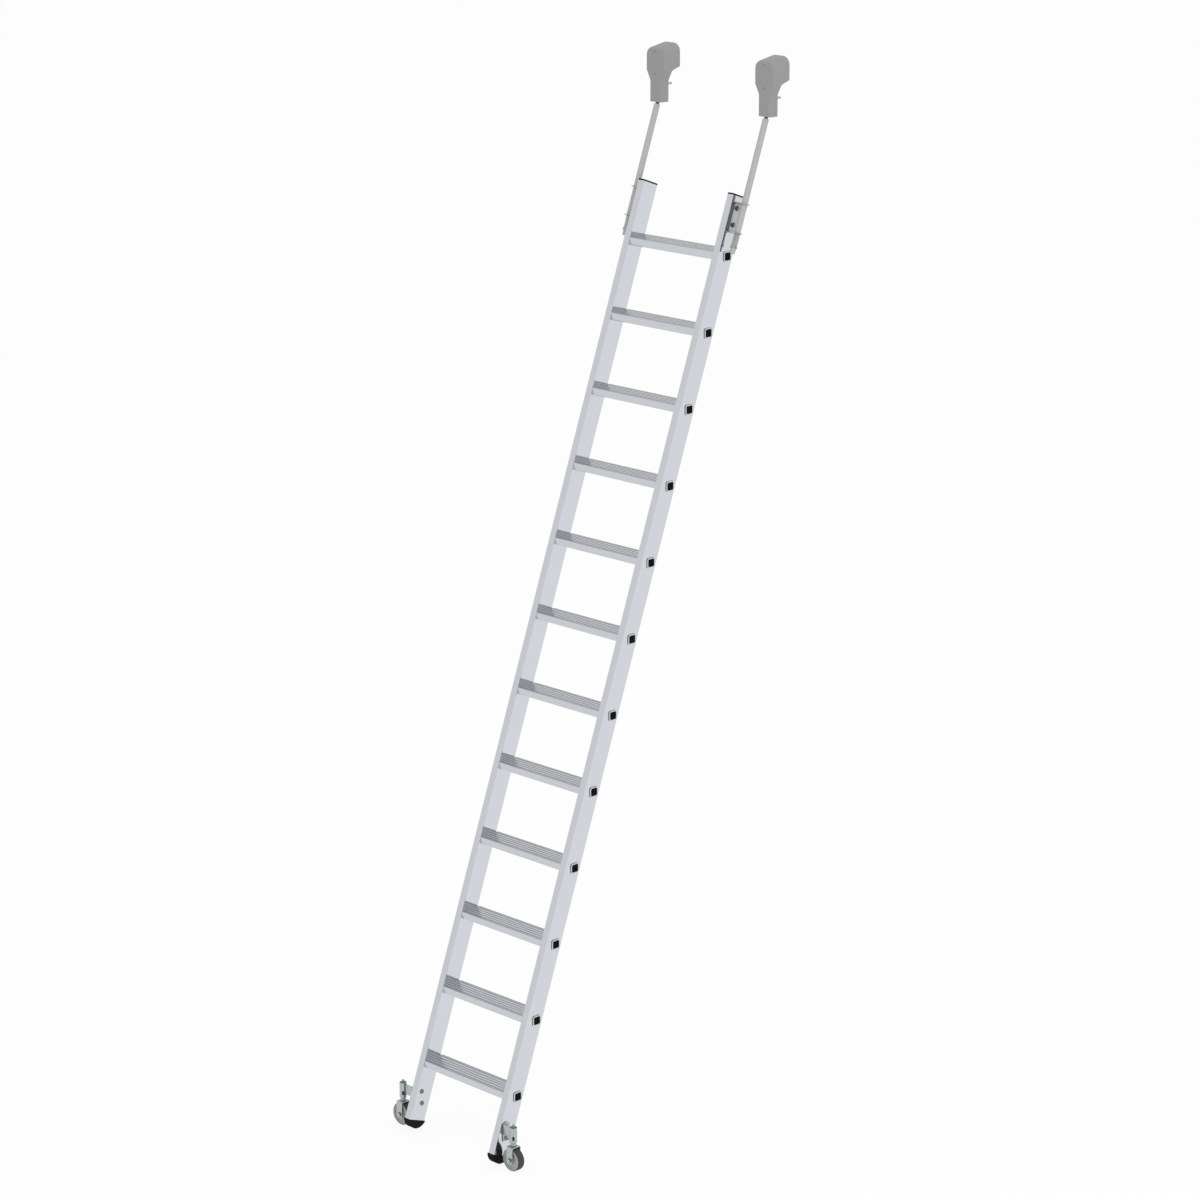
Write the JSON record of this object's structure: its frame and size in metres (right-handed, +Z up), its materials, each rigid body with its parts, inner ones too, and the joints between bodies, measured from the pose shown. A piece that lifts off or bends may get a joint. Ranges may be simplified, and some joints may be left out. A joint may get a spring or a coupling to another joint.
{
  "type": "mobile step ladder",
  "caption": "Leaning aluminium shelf ladder with deep grooved steps, sprung castors and sprung roller hooks that run on a round rail.",
  "frame": {"origin": "On the floor, in the middle of the ladder's width and depth", "axes": "+X to the right of someone who climbs, +Y to the shelf, +Z up"},
  "size_m": [0.595, 1.2576, 3.4205],
  "materials": {
    "aluminium": "bright anodised tube",
    "step_aluminium": "ribbed extrusion",
    "black_plastic": "black moulding",
    "foot_rubber": "black rubber",
    "zinc_plated_steel": "zinc plated",
    "rod_steel": "turned, satin",
    "spring_steel": "bright wire",
    "hub_plastic": "grey moulding",
    "tyre_rubber": "grey-black rubber",
    "hook_plastic": "grey moulding",
    "roller_plastic": "plain moulding"
  },
  "bodies": {
    "ladder": {"left_stile": "aluminium", "right_stile": "aluminium", "step_01": "step_aluminium", "step_02": "step_aluminium", "step_03": "step_aluminium", "step_04": "step_aluminium", "step_05": "step_aluminium", "step_06": "step_aluminium", "step_07": "step_aluminium", "step_08": "step_aluminium", "step_09": "step_aluminium", "step_10": "step_aluminium", "step_11": "step_aluminium", "step_12": "step_aluminium", "step_end_plugs": "black_plastic", "left_top_cap": "black_plastic", "left_foot": "foot_rubber", "left_castor_bracket": "zinc_plated_steel", "left_hook_bracket": "zinc_plated_steel", "left_castor_spring": "spring_steel", "left_rod_spring": "spring_steel", "right_top_cap": "black_plastic", "right_foot": "foot_rubber", "right_castor_bracket": "zinc_plated_steel", "right_hook_bracket": "zinc_plated_steel", "right_castor_spring": "spring_steel", "right_rod_spring": "spring_steel", "castor_bracket_bolts": "zinc_plated_steel", "castor_bracket_nuts": "zinc_plated_steel", "hook_bracket_bolts": "zinc_plated_steel"},
    "left_castor": {"left_castor_fork": "zinc_plated_steel", "left_castor_guide_pin": "zinc_plated_steel", "left_castor_stem_nut": "zinc_plated_steel", "left_wheel_axle": "zinc_plated_steel"},
    "left_wheel": {"left_wheel_hub": "hub_plastic", "left_wheel_tyre": "tyre_rubber", "left_wheel_bush": "zinc_plated_steel"},
    "left_hook": {"left_rod": "rod_steel", "left_rod_cross_pin": "zinc_plated_steel", "left_rod_washer": "zinc_plated_steel", "left_rod_stud": "zinc_plated_steel", "left_hook_housing": "hook_plastic", "left_roller_axle": "zinc_plated_steel", "left_anti_lift_pin": "zinc_plated_steel"},
    "left_roller": {"left_roller": "roller_plastic"},
    "right_castor": {"right_castor_fork": "zinc_plated_steel", "right_castor_guide_pin": "zinc_plated_steel", "right_castor_stem_nut": "zinc_plated_steel", "right_wheel_axle": "zinc_plated_steel"},
    "right_wheel": {"right_wheel_hub": "hub_plastic", "right_wheel_tyre": "tyre_rubber", "right_wheel_bush": "zinc_plated_steel"},
    "right_hook": {"right_rod": "rod_steel", "right_rod_cross_pin": "zinc_plated_steel", "right_rod_washer": "zinc_plated_steel", "right_rod_stud": "zinc_plated_steel", "right_hook_housing": "hook_plastic", "right_roller_axle": "zinc_plated_steel", "right_anti_lift_pin": "zinc_plated_steel"},
    "right_roller": {"right_roller": "roller_plastic"}
  },
  "joints": [
    {"name": "left_castor_slide", "type": "slide", "parent": "ladder", "child": "left_castor", "axis": [0, 0, 1], "range_m": [0, 0.012], "stiffness_N_per_m": 3000, "springref_m": -0.03, "deforming": ["left_castor_spring"]},
    {"name": "left_wheel_spin", "type": "hinge", "parent": "left_castor", "child": "left_wheel", "pos_m": [-0.26, -0.58613, 0.0375], "axis": [0, 1, 0], "continuous": true},
    {"name": "left_rod_slide", "type": "slide", "parent": "ladder", "child": "left_hook", "axis": [0, 0.342, 0.9397], "range_m": [0, 0.015], "stiffness_N_per_m": 4000, "springref_m": -0.02, "deforming": ["left_rod_spring"]},
    {"name": "left_roller_spin", "type": "hinge", "parent": "left_hook", "child": "left_roller", "pos_m": [-0.2392, 0.61078, 3.36552], "axis": [0, 1, 0], "continuous": true},
    {"name": "right_castor_slide", "type": "slide", "parent": "ladder", "child": "right_castor", "axis": [0, 0, 1], "range_m": [0, 0.012], "stiffness_N_per_m": 3000, "springref_m": -0.03, "deforming": ["right_castor_spring"]},
    {"name": "right_wheel_spin", "type": "hinge", "parent": "right_castor", "child": "right_wheel", "pos_m": [0.26, -0.58613, 0.0375], "axis": [0, 1, 0], "continuous": true},
    {"name": "right_rod_slide", "type": "slide", "parent": "ladder", "child": "right_hook", "axis": [0, 0.342, 0.9397], "range_m": [0, 0.015], "stiffness_N_per_m": 4000, "springref_m": -0.02, "deforming": ["right_rod_spring"]},
    {"name": "right_roller_spin", "type": "hinge", "parent": "right_hook", "child": "right_roller", "pos_m": [0.2392, 0.61078, 3.36552], "axis": [0, 1, 0], "continuous": true}
  ]
}
